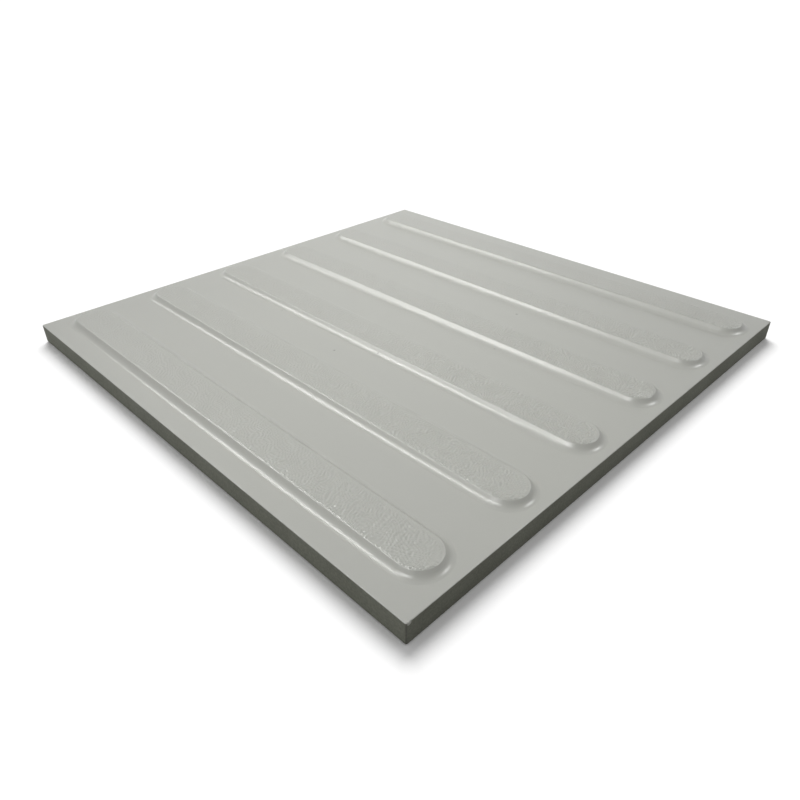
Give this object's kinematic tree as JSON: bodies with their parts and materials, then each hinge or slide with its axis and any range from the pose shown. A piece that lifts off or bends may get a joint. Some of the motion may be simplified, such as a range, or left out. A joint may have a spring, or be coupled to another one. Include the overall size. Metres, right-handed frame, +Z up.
{
  "type": "tactile paving slab",
  "caption": "Thin square ceramic paving slab with parallel flat-topped raised bars that guide people by touch underfoot or by cane.",
  "frame": {"origin": "middle of the underside, on the plane the slab rests on", "axes": "+X along the raised bars, +Y across them, +Z up out of the barred face"},
  "size_m": [0.298, 0.298, 0.0135],
  "materials": {
    "stoneware": "satin"
  },
  "bodies": {
    "root": {"tactile_slab": "stoneware"}
  },
  "joints": []
}
